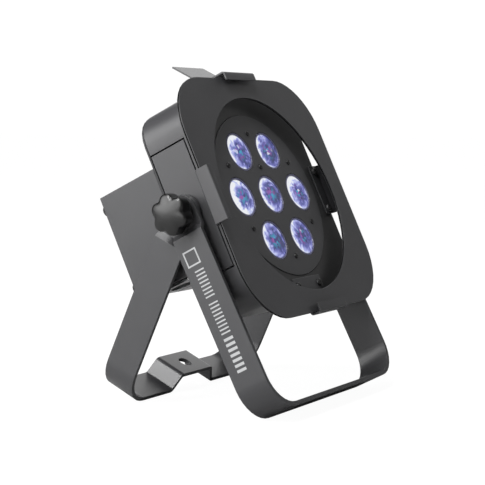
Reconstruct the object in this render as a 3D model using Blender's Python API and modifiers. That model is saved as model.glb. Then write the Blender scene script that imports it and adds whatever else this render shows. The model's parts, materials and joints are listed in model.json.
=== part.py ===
"""Flat LED par can on a double yoke.

The world's origin is on the floor, under the middle of the whole lamp. +X is the lamp's right as seen
from the front, -Y is the way the front yoke leans, and +Z is up. The housing, the two yokes, the top
clip, the knobs and the buttons each hang on an empty that lies on their own axis of motion.
"""
import bpy
import bmesh
from math import acos, atan2, cos, hypot, pi, radians, sin
from mathutils import Matrix, Vector

# ---------------------------------------------------------------- driving dimensions, in metres

GAP = 0.0003                    # clearance between two pieces that touch
CLEAR = 0.001                   # amount by which a cutter runs past the piece that it cuts

# stance: the front yoke leans forward, and the rear yoke leans back until its crossbar meets the floor
TILT = radians(25.5)            # how far the housing aims up
FRONT_LEAN = radians(27.6)
PIVOT_Y = 0.0016                # places the whole lamp evenly about the origin

# yokes: two flat bars of one section, the rear one nested inside the front one
BAR = 0.003                     # thickness
BAR_WIDTH = 0.026
YOKE_REACH = 0.152              # pivot to the underside of the front crossbar
YOKE_HALF = 0.0915              # middle to the outside of the front yoke's arms
NEST = BAR + GAP                # how far the rear yoke lies inside the front one
YOKE_BEND = 0.0235              # radius of the corner bends, at the middle of the bar
EAR_STEP = 0.0036               # how far each arm steps in to its pivot ear
FRONT_STEP = (0.0130, 0.0166)   # start and end of that step, below the pivot
REAR_STEP = (0.0200, 0.0240)
HUMP_HEIGHT = 0.012
HUMP_HALF = 0.0195
HUMP_SLOPE = 0.0075
MOUNT_HOLE = 0.00525            # radius of the hanging hole
STUD_HOLE = 0.0043              # radius of the pivot holes

# housing: depths are measured back from the front face, which has the lens plate's middle at its centre
PIVOT_DEPTH = 0.023
SHELL_HALF_X = 0.080
SHELL_HALF_Z = 0.079
SHELL_CORNER = 0.023
SHELL_DEPTH = 0.0347
SHELL_WALL = 0.0022
PANEL = 0.003                   # side panel's thickness
PANEL_HALF_Z = 0.0475
PANEL_DEPTHS = (0.0038, 0.0340)
BACK_PLATE = (0.0350, 0.0365)
BOX_DEPTHS = (0.0368, 0.0890)
BOX_LID_DEPTH = 0.0842          # where the rear box's top and bottom walls end
BOX_HALF_X = 0.0790
BOX_HALF_Z = 0.0398
BOX_WALL = 0.0015

# optics
LENS_PITCH = 0.0403
LENS_RADIUS = 0.0152
LENS_PLATE_RADIUS = 0.064
LENS_PLATE = (-0.0005, 0.0019)
PLATE_SCREW_RING = 0.0492
LED_BOARD = (0.0150, 0.0166)
SINK_BASE = (0.0169, 0.0204)
SINK_FIN_END = 0.0347

# gel frame and the clips that hold it
SHEET = 0.0012                  # sheet thickness of the clips
GEL_HALF_X = 0.09525
GEL_HALF_Z = 0.0920
GEL_CENTRE_Z = -0.0023
GEL_CORNER = 0.0423
GEL_OPENING = 0.0765
GEL_DEPTHS = (-0.0097, -0.0077)
GEL_SLOT = (-0.0091, -0.0084)   # gap between the gel frame's two sheets, where the colour filter goes
GEL_SLOT_REACH = 0.004
CLIP_WIDTH = 0.040
TOP_CLIP_WIDTH = 0.0415
TOP_CLIP_SHIFT = -0.0010
CLIP_FRONT = -0.0134            # middle of a clip's front lip
LEFT_CLIP_FRONT = -0.0164       # the left clip reaches further forward
LEDGE_DEPTH = -0.0068           # middle of the right clip's ledge, behind the gel frame
CLIP_STEP = -0.0060             # where a clip's wall meets its sloping foot
CLIP_SCREW_SPAN = 0.031
HINGE_DEPTH = 0.0085
HINGE_Z = 0.0860
HINGE_PIN = 0.0015

# clamping knobs, measured outward along the pivot axis from the lamp's middle
KNOB_FACE = 0.1056
KNOB_SKIRT = 0.0922
KNOB_HUB = 0.0900
KNOB_LOBES = 6
KNOB_TURN = radians(-10)
KNOB_RADIUS = 0.0139
KNOB_SCALLOP = 0.0010
KNOB_ROUNDING = 0.0028
STUD_RADIUS = 0.0038
STUD_END = 0.0680

# electronics on the rear box
SOCKET_DEPTH = 0.0605           # middle of the row of sockets on the rear box's underside
DISPLAY = (0.028, 0.012, 0.022, 0.009)      # centre X, centre Z, half width, half height
BUTTON_Z = -0.010
BUTTON_FIRST_X = 0.010
BUTTON_PITCH = 0.012
BUTTON_RADIUS = 0.0036
FOOT_RADIUS = 0.0055
FOOT_X = 0.0715
FOOT_Z = 0.0305

# ---------------------------------------------------------------- scene, materials and small helpers


def clear_scene():
    for thing in list(bpy.data.objects):
        bpy.data.objects.remove(thing, do_unlink=True)


def new_collection(name):
    group = bpy.data.collections.new(name)
    bpy.context.scene.collection.children.link(group)
    return group


def material(name, colour, roughness, metallic=0.0, alpha=1.0):
    made = bpy.data.materials.new(name)
    made.use_nodes = True
    shader = made.node_tree.nodes["Principled BSDF"]
    shader.inputs["Base Color"].default_value = (*colour, 1.0)
    shader.inputs["Roughness"].default_value = roughness
    shader.inputs["Metallic"].default_value = metallic
    shader.inputs["Alpha"].default_value = alpha
    return made


clear_scene()
PARTS = new_collection("par_can_light")
CUTTERS = new_collection("cutters")

COAT = material("black_coat", (0.030, 0.030, 0.033), 0.42)
STEEL = material("zinc_steel", (0.45, 0.45, 0.46), 0.35, 1.0)
ALUMINIUM = material("aluminium", (0.60, 0.60, 0.62), 0.45, 1.0)
PLASTIC = material("black_plastic", (0.022, 0.022, 0.024), 0.38)
RUBBER = material("rubber", (0.020, 0.020, 0.020), 0.75)
LENS = material("lens", (0.90, 0.90, 0.96), 0.08, alpha=0.6)
WINDOW = material("window", (0.04, 0.05, 0.06), 0.06, alpha=0.6)
BOARD = material("circuit_board", (0.02, 0.16, 0.07), 0.45)
FIBRE = material("fibre", (0.10, 0.08, 0.06), 0.80)


def empty(name, parent=None, location=(0, 0, 0), rotation=(0, 0, 0)):
    made = bpy.data.objects.new(name, None)
    made.empty_display_size = 0.02
    made.location = location
    made.rotation_euler = rotation
    made.parent = parent
    PARTS.objects.link(made)
    return made


def place(name, mesh, look, parent=None, location=(0, 0, 0), rotation=(0, 0, 0)):
    """A finished mesh becomes a named part; with no look it becomes a hidden cutter."""
    made = bpy.data.objects.new(name, mesh)
    made.location = location
    made.rotation_euler = rotation
    made.parent = parent
    if look is None:
        made.hide_render = True
        made.display_type = "WIRE"
        CUTTERS.objects.link(made)
    else:
        mesh.materials.append(look)
        PARTS.objects.link(made)
    return made


def finished(bm):
    bmesh.ops.recalc_face_normals(bm, faces=bm.faces)
    mesh = bpy.data.meshes.new("mesh")
    bm.to_mesh(mesh)
    bm.free()
    mesh.set_sharp_from_angle(angle=radians(35))
    return mesh


def add_block(bm, low, high):
    centre = (Vector(low) + Vector(high)) / 2
    size = Vector(high) - Vector(low)
    matrix = Matrix.Translation(centre) @ Matrix.Diagonal((*size, 1))
    bmesh.ops.create_cube(bm, size=1, matrix=matrix)


def add_rod(bm, radius, start, end, sides=24, end_radius=None):
    start, end = Vector(start), Vector(end)
    turn = (end - start).to_track_quat("Z", "Y").to_matrix().to_4x4()
    bmesh.ops.create_cone(bm, cap_ends=True, segments=sides, radius1=radius,
                          radius2=radius if end_radius is None else end_radius,
                          depth=(end - start).length,
                          matrix=Matrix.Translation((start + end) / 2) @ turn)


def blocks(*spans):
    bm = bmesh.new()
    for low, high in spans:
        add_block(bm, low, high)
    return finished(bm)


def rods(*shapes, sides=24):
    bm = bmesh.new()
    for radius, start, end in shapes:
        add_rod(bm, radius, start, end, sides)
    return finished(bm)


# which way a flat outline's two axes and its thickness run
PLANES = {
    "XY": Matrix(((1, 0, 0), (0, 1, 0), (0, 0, 1))),
    "YZ": Matrix(((0, 0, 1), (1, 0, 0), (0, 1, 0))),
    "XZ": Matrix(((1, 0, 0), (0, 0, -1), (0, 1, 0))),
}


def welded(curve, matrix):
    """The mesh of a drawn curve, with the rims of its end faces joined to its sides."""
    drawn = bpy.data.objects.new("drawn", curve)
    bpy.context.scene.collection.objects.link(drawn)
    evaluated = drawn.evaluated_get(bpy.context.evaluated_depsgraph_get())
    mesh = bpy.data.meshes.new_from_object(evaluated)
    bpy.data.objects.remove(drawn, do_unlink=True)
    bm = bmesh.new()
    bm.from_mesh(mesh)
    bmesh.ops.remove_doubles(bm, verts=bm.verts, dist=1e-6)
    bmesh.ops.transform(bm, verts=bm.verts, matrix=matrix)
    return finished(bm)


def slab(outline, plane, low, high, hole=()):
    """A closed flat outline, with or without a hole, extruded from low to high along the third axis."""
    curve = bpy.data.curves.new("outline", "CURVE")
    curve.dimensions = "2D"
    curve.fill_mode = "BOTH"
    curve.extrude = (high - low) / 2
    for loop in filter(len, (outline, hole)):
        spline = curve.splines.new("POLY")
        spline.points.add(len(loop) - 1)
        for point, (u, v) in zip(spline.points, loop):
            point.co = (u, v, 0, 1)
        spline.use_cyclic_u = True
    axis = PLANES[plane].col[2]
    middle = (low + high) / 2 * (-1 if plane == "XZ" else 1)
    return welded(curve, Matrix.Translation(axis * middle) @ PLANES[plane].to_4x4())


def arc(centre, radius, start, end, steps):
    """Points on an arc, both ends included; angles in degrees."""
    angles = [radians(start + (end - start) * i / steps) for i in range(steps + 1)]
    return [(centre[0] + radius * cos(a), centre[1] + radius * sin(a)) for a in angles]


def rounded_rectangle(half_u, half_v, radius, steps, centre_v=0.0):
    corners = ((1, 1, 0), (-1, 1, 90), (-1, -1, 180), (1, -1, 270))
    outline = []
    for side_u, side_v, start in corners:
        middle = (side_u * (half_u - radius), centre_v + side_v * (half_v - radius))
        outline += arc(middle, radius, start, start + 90, steps)
    return outline


def rounded_path(points, radius, steps=3):
    """An open path with each of its inner corners turned into a short arc."""
    path = [points[0]]
    for before, corner, after in zip(points, points[1:], points[2:]):
        corner = Vector(corner)
        a = (Vector(before) - corner).normalized()
        b = (Vector(after) - corner).normalized()
        half_angle = acos(max(-1.0, min(1.0, a.dot(b)))) / 2
        centre = corner + (a + b).normalized() * radius / sin(half_angle)
        reach = radius * cos(half_angle) / sin(half_angle)
        first = corner + a * reach - centre
        turn = 2 * (pi / 2 - half_angle) * (1 if a.x * b.y - a.y * b.x < 0 else -1)
        begin = atan2(first.y, first.x)
        for i in range(steps + 1):
            angle = begin + turn * i / steps
            path.append((centre.x + radius * cos(angle), centre.y + radius * sin(angle)))
    path.append(points[-1])
    return path


def strip(name, path, plane, width, thickness, look, parent=None):
    """A bent strip: the path swept across its width as an open sheet, then given its thickness."""
    bm = bmesh.new()
    verts = [bm.verts.new((u, v, -width / 2)) for u, v in path]
    edges = [bm.edges.new(pair) for pair in zip(verts, verts[1:])]
    swept = bmesh.ops.extrude_edge_only(bm, edges=edges)["geom"]
    across = [item for item in swept if isinstance(item, bmesh.types.BMVert)]
    bmesh.ops.translate(bm, verts=across, vec=(0, 0, width))
    bmesh.ops.transform(bm, verts=bm.verts, matrix=PLANES[plane].to_4x4())
    made = place(name, finished(bm), look, parent)
    solid = made.modifiers.new("thickness", "SOLIDIFY")
    solid.thickness = thickness
    solid.offset = 0
    solid.use_even_offset = True
    return made


def turned(name, profile, look, parent=None, location=(0, 0, 0), rotation=(0, 0, 0), steps=24):
    """A profile of (radius, height) pairs, top to bottom down its outer side, turned about Z."""
    bm = bmesh.new()
    verts = [bm.verts.new((radius, 0, height)) for radius, height in profile]
    for pair in zip(verts, verts[1:]):
        bm.edges.new(pair)
    mesh = bpy.data.meshes.new("profile")
    bm.to_mesh(mesh)
    bm.free()
    made = place(name, mesh, look, parent, location, rotation)
    screw = made.modifiers.new("turn", "SCREW")
    screw.steps = steps
    screw.render_steps = steps
    screw.use_merge_vertices = True
    screw.merge_threshold = 0.00001
    return made


def wire(name, points, radius, resolution, look, parent):
    """A round wire bent along the points, with flat ends."""
    curve = bpy.data.curves.new(name, "CURVE")
    curve.dimensions = "3D"
    curve.bevel_depth = radius
    curve.bevel_resolution = resolution
    curve.use_fill_caps = True
    spline = curve.splines.new("POLY")
    spline.points.add(len(points) - 1)
    for point, position in zip(spline.points, points):
        point.co = (*position, 1)
    return place(name, welded(curve, Matrix.Identity(4)), look, parent)


def boolean(target, mesh, operation, location=(0, 0, 0)):
    """Cuts a mesh out of a part, joins it on, or keeps what both share, in the part's own axes."""
    tool = place(f"{target.name}_tool", mesh, None, target, location)
    step = target.modifiers.new(operation.lower(), "BOOLEAN")
    step.operation = operation
    step.object = tool
    return tool


def cut(target, mesh):
    return boolean(target, mesh, "DIFFERENCE")


def join(target, mesh):
    return boolean(target, mesh, "UNION")


def bevel(target, width, segments, angle):
    rounding = target.modifiers.new("rounding", "BEVEL")
    rounding.width = width
    rounding.segments = segments
    rounding.limit_method = "ANGLE"
    rounding.angle_limit = radians(angle)


def ring_points(radius, count, first_degrees=0.0):
    """Evenly spaced (X, Z) points on a circle."""
    angles = [radians(first_degrees + 360 * i / count) for i in range(count)]
    return [(radius * cos(a), radius * sin(a)) for a in angles]


# ---------------------------------------------------------------- yokes

HALF_WIDTH = BAR_WIDTH / 2
PIVOT_Z = YOKE_REACH * cos(FRONT_LEAN) + HALF_WIDTH * sin(FRONT_LEAN)
REAR_REACH = YOKE_REACH - NEST
REAR_LEAN = acos(PIVOT_Z / hypot(REAR_REACH, HALF_WIDTH)) + atan2(HALF_WIDTH, REAR_REACH)


def yoke_path(inset, step, hump):
    """Right half of a yoke's middle line, from the middle of its crossbar up to its ear."""
    arm = YOKE_HALF - BAR / 2 - inset
    floor = -(YOKE_REACH - BAR / 2 - inset)
    ear = arm - EAR_STEP
    start = [(0, floor)]
    if hump:
        top = floor + HUMP_HEIGHT
        start = [(0, top), (HUMP_HALF, top), (HUMP_HALF + HUMP_SLOPE, floor)]
        start = rounded_path(start + [(0.040, floor)], 0.003)
    corner = arc((arm - YOKE_BEND, floor + YOKE_BEND), YOKE_BEND, -90, 0, 8)
    return start + corner + [(arm, -step[1]), (ear, -step[0]), (ear, BAR_WIDTH)]


def yoke(name, inset, step, hump, lean):
    axis = empty(f"{name}_axis", location=(0, PIVOT_Y, PIVOT_Z), rotation=(lean, 0, 0))
    right = yoke_path(inset, step, hump)
    left = [(-x, z) for x, z in reversed(right[1:])]
    made = strip(name, left + right, "XZ", BAR_WIDTH + 0.004, BAR, COAT, axis)
    below = [(-HALF_WIDTH, -0.2), (HALF_WIDTH, -0.2)]
    rounded_end = arc((0, 0), HALF_WIDTH, 0, 180, 12)
    boolean(made, slab(below + rounded_end, "YZ", -0.1, 0.1), "INTERSECT")
    cut(made, rods((STUD_HOLE, (-0.1, 0, 0), (0.1, 0, 0))))
    return made


yoke("front_yoke", 0, FRONT_STEP, False, -FRONT_LEAN)
rear_yoke = yoke("rear_yoke", NEST, REAR_STEP, True, REAR_LEAN)
cut(rear_yoke, rods((MOUNT_HOLE, (0, 0, -0.145), (0, 0, -0.120))))

# ---------------------------------------------------------------- housing shells

housing_axis = empty("housing_axis", location=(0, PIVOT_Y, PIVOT_Z), rotation=(-TILT, 0, 0))
front_face = empty("front_face", housing_axis, location=(0, -PIVOT_DEPTH, 0))


def front_shell():
    outer = rounded_rectangle(SHELL_HALF_X, SHELL_HALF_Z, SHELL_CORNER, 6)
    made = place("front_shell", slab(outer, "XZ", 0, SHELL_DEPTH), COAT, front_face)
    bevel(made, 0.003, 2, 60)
    inner = rounded_rectangle(SHELL_HALF_X - SHELL_WALL, SHELL_HALF_Z - SHELL_WALL,
                              SHELL_CORNER - SHELL_WALL, 6)
    cut(made, slab(inner, "XZ", SHELL_WALL, SHELL_DEPTH + CLEAR))
    cut(made, rods((LENS_PLATE_RADIUS + GAP, (0, -CLEAR, 0), (0, SHELL_WALL + CLEAR, 0)), sides=48))
    notch_z = PANEL_HALF_Z + 0.001
    notch = [((side * 0.070 if side > 0 else -0.090, PANEL_DEPTHS[0] - 0.001, -notch_z),
              (0.090 if side > 0 else -0.070, SHELL_DEPTH + CLEAR, notch_z)) for side in (-1, 1)]
    cut(made, blocks(*notch))


def side_panel(name, side):
    inner, outer = SHELL_HALF_X - PANEL, SHELL_HALF_X
    low_x, high_x = sorted((side * inner, side * outer))
    made = place(name, blocks(((low_x, PANEL_DEPTHS[0], -PANEL_HALF_Z),
                               (high_x, PANEL_DEPTHS[1], PANEL_HALF_Z))), COAT, front_face)
    cut(made, rods((STUD_HOLE, (side * 0.07, PIVOT_DEPTH, 0), (side * 0.09, PIVOT_DEPTH, 0))))


def back_plate():
    outline = rounded_rectangle(SHELL_HALF_X - 0.0005, SHELL_HALF_Z - 0.0005, SHELL_CORNER, 6)
    made = place("back_plate", slab(outline, "XZ", *BACK_PLATE), COAT, front_face)
    cut(made, blocks(((-0.045, 0.030, -0.025), (0.045, 0.040, 0.025))))


def rear_box():
    start, end = BOX_DEPTHS
    made = place("rear_box", blocks(((-BOX_HALF_X, start, -BOX_HALF_Z), (BOX_HALF_X, end, BOX_HALF_Z))),
                 COAT, front_face)
    inner_x, inner_z = BOX_HALF_X - BOX_WALL, BOX_HALF_Z - BOX_WALL
    cut(made, blocks(((-inner_x, start - CLEAR, -inner_z), (inner_x, end + CLEAR, inner_z)),))
    cut(made, blocks(((-inner_x, BOX_LID_DEPTH, -0.05), (inner_x, end + CLEAR, 0.05))))
    vents = [((x - 0.0015, 0.048, 0.03), (x + 0.0015, 0.074, 0.05))
             for x in (-0.048 + 0.012 * i for i in range(9))]
    cut(made, blocks(*vents))
    sockets = bmesh.new()
    for x in IEC_PLACES:
        add_block(sockets, (x - 0.0136, SOCKET_DEPTH - 0.0101, -0.05),
                  (x + 0.0136, SOCKET_DEPTH + 0.0101, -0.03))
    for x, radius in ((XLR_IN_X, 0.0121), (XLR_OUT_X, 0.0121), (FUSE_X, 0.0064)):
        add_rod(sockets, radius, (x, SOCKET_DEPTH, -0.05), (x, SOCKET_DEPTH, -0.03))
    cut(made, finished(sockets))


def rear_cover():
    """A shallow pan with rounded top and bottom edges, between the rear box's side walls."""
    outside, sheet, edge = 0.0887, 0.0015, 0.0030
    middle = outside - sheet / 2
    half_z = BOX_HALF_Z - sheet / 2
    front = BOX_LID_DEPTH + GAP
    path = [(front, -half_z), (middle, -half_z), (middle, half_z), (front, half_z)]
    width = 2 * (BOX_HALF_X - BOX_WALL - GAP)
    made = strip("rear_cover", rounded_path(path, edge), "YZ", width, sheet, COAT, front_face)
    x, z, half_x, half_z = DISPLAY
    openings = bmesh.new()
    add_block(openings, (x - half_x - GAP, 0.08, z - half_z - GAP), (x + half_x + GAP, 0.1, z + half_z + GAP))
    for button_x in BUTTON_PLACES:
        add_rod(openings, BUTTON_RADIUS + 0.0004, (button_x, 0.08, BUTTON_Z), (button_x, 0.1, BUTTON_Z))
    for i in range(6):
        vent_x = -0.052 + 0.008 * i
        add_block(openings, (vent_x - 0.0015, 0.08, -0.018), (vent_x + 0.0015, 0.1, 0.018))
    cut(made, finished(openings))


def rubber_foot(name, side_x, side_z):
    dome = [(0, FOOT_RADIUS)]
    dome += [(FOOT_RADIUS * sin(a), FOOT_RADIUS * cos(a)) for a in (radians(22.5 * i) for i in range(1, 4))]
    dome += [(FOOT_RADIUS, 0), (0, 0)]
    turned(name, dome, RUBBER, front_face, location=(side_x * FOOT_X, 0.0890, side_z * FOOT_Z),
           rotation=(-pi / 2, 0, 0), steps=16)


def safety_eye():
    """A steel bow on the back plate, for a safety wire."""
    base, radius = BACK_PLATE[1] + GAP, 0.009
    bow = [(radius, base)] + arc((0, base + 0.006), radius, 0, 180, 10) + [(-radius, base)]
    wire("safety_eye", [(x, depth, 0.060) for x, depth in bow], 0.002, 2, STEEL, front_face)


IEC_PLACES = (0.054, 0.018)     # power in, power out
FUSE_X = -0.009
XLR_OUT_X = -0.033
XLR_IN_X = -0.061
BUTTON_PLACES = [BUTTON_FIRST_X + BUTTON_PITCH * i for i in range(4)]

front_shell()
side_panel("side_panel_left", -1)
side_panel("side_panel_right", 1)
back_plate()
rear_box()
rear_cover()
safety_eye()
for number, (side_x, side_z) in enumerate(((-1, 1), (1, 1), (-1, -1), (1, -1)), start=1):
    rubber_foot(f"foot_{number}", side_x, side_z)

# ---------------------------------------------------------------- optics and cooling

LENS_CENTRES = [(0.0, 0.0)] + ring_points(LENS_PITCH, 6)


def lens_plate():
    front, back = LENS_PLATE
    made = place("lens_plate", rods((LENS_PLATE_RADIUS, (0, front, 0), (0, back, 0)), sides=48),
                 COAT, front_face)
    holes = bmesh.new()
    for x, z in LENS_CENTRES:
        add_rod(holes, LENS_RADIUS + GAP, (x, -CLEAR, z), (x, 2 * CLEAR + back, z), 20)
    for x, z in ring_points(PLATE_SCREW_RING, 6, 30) + [(0, 0.55 * LENS_PITCH)]:
        add_rod(holes, 0.0016, (x, -CLEAR, z), (x, 2 * CLEAR + back, z), 8)
    cut(made, finished(holes))


def lens(number, x, z):
    """A collimator: flat round face, then a cone back to the LED. Its axis points forward."""
    face, rim, back = -0.0002, -0.0024, -0.0128
    profile = [(0, face), (LENS_RADIUS, face), (LENS_RADIUS, rim), (0.0128, -0.0050), (0.0052, back), (0, back)]
    turned(f"lens_{number}", profile, LENS, front_face, location=(x, 0, z),
           rotation=(pi / 2, 0, 0), steps=20)


def led_board():
    front, back = LED_BOARD
    made = place("led_board", rods((0.060, (0, front, 0), (0, back, 0)), sides=32), ALUMINIUM, front_face)
    chip = 0.0022
    chips = [((x - chip, front - 0.0012, z - chip), (x + chip, front + CLEAR, z + chip))
             for x, z in LENS_CENTRES]
    join(made, blocks(*chips))


def heat_sink():
    """A flat base with upright fins behind it, one extruded section."""
    front, back = SINK_BASE
    half, fin, count = 0.060, 0.0018, 11
    outline = [(half, front), (half, SINK_FIN_END)]
    pitch = (2 * half - fin) / (count - 1)
    for i in range(count):
        left = half - fin - pitch * i
        outline += [(left, SINK_FIN_END), (left, back)]
        if i < count - 1:
            outline += [(left + fin - pitch, back), (left + fin - pitch, SINK_FIN_END)]
    outline[-1] = (-half, front)
    place("heat_sink", slab(outline, "XY", -0.055, 0.055), ALUMINIUM, front_face)


lens_plate()
for number, (x, z) in enumerate(LENS_CENTRES, start=1):
    lens(number, x, z)
led_board()
heat_sink()

# ---------------------------------------------------------------- gel frame and clips


def gel_frame():
    """Two sheets with a narrow slot between them, open at the rim of the hole and round the outside."""
    def outline(inset):
        return rounded_rectangle(GEL_HALF_X - inset, GEL_HALF_Z - inset, GEL_CORNER - inset, 10, GEL_CENTRE_Z)

    def circle(radius):
        return arc((0, GEL_CENTRE_Z), radius, 0, 360 - 360 / 64, 63)

    made = place("gel_frame", slab(outline(0), "XZ", *GEL_DEPTHS, hole=circle(GEL_OPENING)), COAT, front_face)
    cut(made, slab(circle(GEL_OPENING + GEL_SLOT_REACH), "XZ", *GEL_SLOT))
    cut(made, slab(outline(-CLEAR), "XZ", *GEL_SLOT, hole=outline(GEL_SLOT_REACH)))


def side_clip(name, side, path):
    made = strip(name, rounded_path(path, 0.0012, 2), "XY", CLIP_WIDTH, SHEET, COAT, front_face)
    half = CLIP_SCREW_SPAN / 2
    cut(made, rods(*[(0.0017, (side * 0.0752, -0.01, z), (side * 0.0752, 0.01, z)) for z in (-half, half)],
                   sides=12))


def side_clips():
    """The left clip wraps round the gel frame's edge; the right one is a ledge that it rests on."""
    foot = -SHEET / 2 - GAP
    wall = -GEL_HALF_X - SHEET
    side_clip("clip_left", -1, [(-0.070, foot), (-0.0805, foot), (wall, CLIP_STEP), (wall, LEFT_CLIP_FRONT),
                                (wall + 0.0040, LEFT_CLIP_FRONT)])
    side_clip("clip_right", 1, [(0.070, foot), (0.0805, foot), (0.0890, LEDGE_DEPTH), (0.0945, LEDGE_DEPTH)])


def bottom_clip():
    wall = GEL_CENTRE_Z - GEL_HALF_Z - SHEET
    path = [(-SHEET / 2 - GAP, -0.0660), (-SHEET / 2 - GAP, -0.0785), (CLIP_STEP, wall),
            (CLIP_FRONT, wall), (CLIP_FRONT, wall + 0.0065)]
    made = strip("clip_bottom", rounded_path(path, 0.0012, 2), "YZ", CLIP_WIDTH, SHEET, COAT, front_face)
    half = CLIP_SCREW_SPAN / 2
    cut(made, rods(*[(0.0017, (x, -0.01, -0.0722), (x, 0.01, -0.0722)) for x in (-half, half)], sides=12))


def lug(centre, radius, shoulder, top):
    """Outline of a hinge lug: a half round about the pin, widening to a straight edge at the top."""
    y, z = centre
    return [(y + shoulder[1], top), (y + shoulder[0], top)] + arc((y, z), radius, 180, 360, 6)


def top_clip():
    """Lip, wall and finger tab in one bent strip, with two lugs that turn on the hinge pin."""
    axis = empty("top_clip_axis", front_face, location=(0, HINGE_DEPTH, HINGE_Z))
    wall = 0.0070
    front = CLIP_FRONT - HINGE_DEPTH
    path = [(front, wall - 0.0063), (front, wall), (-0.0018, wall), (0.0170, 0.0298)]
    made = strip("top_clip", rounded_path(path, 0.0014, 2), "YZ", TOP_CLIP_WIDTH, SHEET, COAT, axis)
    made.location.x = TOP_CLIP_SHIFT
    outline = lug((0, 0), 0.0037, (-0.0080, -0.0010), wall)
    for side in (-1, 1):
        low, high = sorted((side * 0.0162, side * 0.0176))
        join(made, slab(outline, "YZ", low - TOP_CLIP_SHIFT, high - TOP_CLIP_SHIFT))
    cut(made, rods((HINGE_PIN + GAP, (-0.03, 0, 0), (0.03, 0, 0)), sides=16))


def clip_bracket():
    base = SHELL_HALF_Z + GAP
    made = place("clip_bracket", blocks(((-0.0150, 0.0040, base), (0.0150, 0.0160, base + SHEET))),
                 COAT, front_face)
    outline = [(HINGE_DEPTH + 0.0040, base + SHEET / 2)] + arc((HINGE_DEPTH, HINGE_Z), 0.0034, 0, 180, 6)
    outline += [(HINGE_DEPTH - 0.0040, base + SHEET / 2)]
    for side in (-1, 1):
        low, high = sorted((side * 0.0136, side * 0.0149))
        join(made, slab(outline, "YZ", low, high))
    cut(made, rods((HINGE_PIN + GAP, (-0.03, HINGE_DEPTH, HINGE_Z), (0.03, HINGE_DEPTH, HINGE_Z)), sides=16))


def clip_spring():
    """Torsion spring round the hinge pin; one leg lies on the bracket, one reaches under the clip."""
    turns, per_turn, half, radius = 5, 10, 0.0060, 0.0030
    count = turns * per_turn
    coil = [(-half + 2 * half * i / count, HINGE_DEPTH + radius * sin(2 * pi * i / per_turn),
             HINGE_Z - radius * cos(2 * pi * i / per_turn)) for i in range(count + 1)]
    back_leg = (-half, HINGE_DEPTH - 0.0060, HINGE_Z - radius)
    coil += [(half, HINGE_DEPTH + 0.0055, HINGE_Z - radius - 0.0004)]
    wire("clip_spring", [back_leg] + coil, 0.0005, 1, STEEL, front_face)


gel_frame()
side_clips()
bottom_clip()
top_clip()
clip_bracket()
place("clip_pin", rods((HINGE_PIN, (-0.0195, HINGE_DEPTH, HINGE_Z), (0.0195, HINGE_DEPTH, HINGE_Z)), sides=12),
      STEEL, front_face)
clip_spring()

# ---------------------------------------------------------------- pivot hardware, each side


def ring(name, radius, hole, low, high, look, parent):
    """A flat ring about local Z."""
    made = place(name, rods((radius, (0, 0, low), (0, 0, high))), look, parent)
    cut(made, rods((hole, (0, 0, low - CLEAR), (0, 0, high + CLEAR)), sides=20))


def pivot_side(word, side):
    """Everything on one end of the pivot axis; local Z points outward."""
    outward = empty(f"pivot_{word}", housing_axis, rotation=(0, side * pi / 2, 0))
    ring(f"pivot_insert_{word}", 0.0090, STUD_HOLE, 0.0640, SHELL_HALF_X - PANEL - GAP, STEEL, outward)
    ring(f"friction_washer_{word}", 0.0120, STUD_HOLE, SHELL_HALF_X + GAP, SHELL_HALF_X + 0.0013,
         FIBRE, outward)
    ring(f"knob_washer_{word}", 0.0110, STUD_HOLE, 0.0882, 0.0897, STEEL, outward)
    outline = []
    for i in range(KNOB_LOBES * 8):
        angle = 2 * pi * i / (KNOB_LOBES * 8)
        radius = KNOB_RADIUS + KNOB_SCALLOP * cos(KNOB_LOBES * angle)
        outline.append((radius * cos(angle + KNOB_TURN), radius * sin(angle + KNOB_TURN)))
    knob = place(f"knob_{word}", slab(outline, "XY", KNOB_SKIRT, KNOB_FACE), PLASTIC, outward)
    bevel(knob, KNOB_ROUNDING, 3, 60)
    join(knob, rods((0.0115, (0, 0, KNOB_HUB), (0, 0, KNOB_SKIRT + CLEAR))))
    join(knob, rods((STUD_RADIUS, (0, 0, STUD_END), (0, 0, KNOB_SKIRT)), sides=16))


pivot_side("left", -1)
pivot_side("right", 1)

# ---------------------------------------------------------------- electronics


def socket_place(x):
    """Sockets are built about local Z, which points down and out of the rear box's underside."""
    return {"parent": front_face, "location": (x, SOCKET_DEPTH, -BOX_HALF_Z), "rotation": (pi, 0, 0)}


def power_socket(name, x, male):
    flange = ((-0.0155, -0.0120, GAP), (0.0155, 0.0120, 0.0022))
    made = place(name, blocks(flange), PLASTIC, **socket_place(x))
    join(made, blocks(((-0.0132, -0.0097, -0.0160), (0.0132, 0.0097, 0.0012))))
    pins = ((-0.0070, -0.0020), (0.0070, -0.0020), (0.0, 0.0020))
    if male:
        cut(made, blocks(((-0.0120, -0.0082, -0.0140), (0.0120, 0.0082, 0.0032))))
        join(made, blocks(*[((px - 0.0010, py - 0.0020, -0.0150), (px + 0.0010, py + 0.0020, 0.0005))
                            for px, py in pins]))
    else:
        cut(made, blocks(*[((px - 0.0013, py - 0.0026, -0.0120), (px + 0.0013, py + 0.0026, 0.0032))
                           for px, py in pins]))


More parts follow.
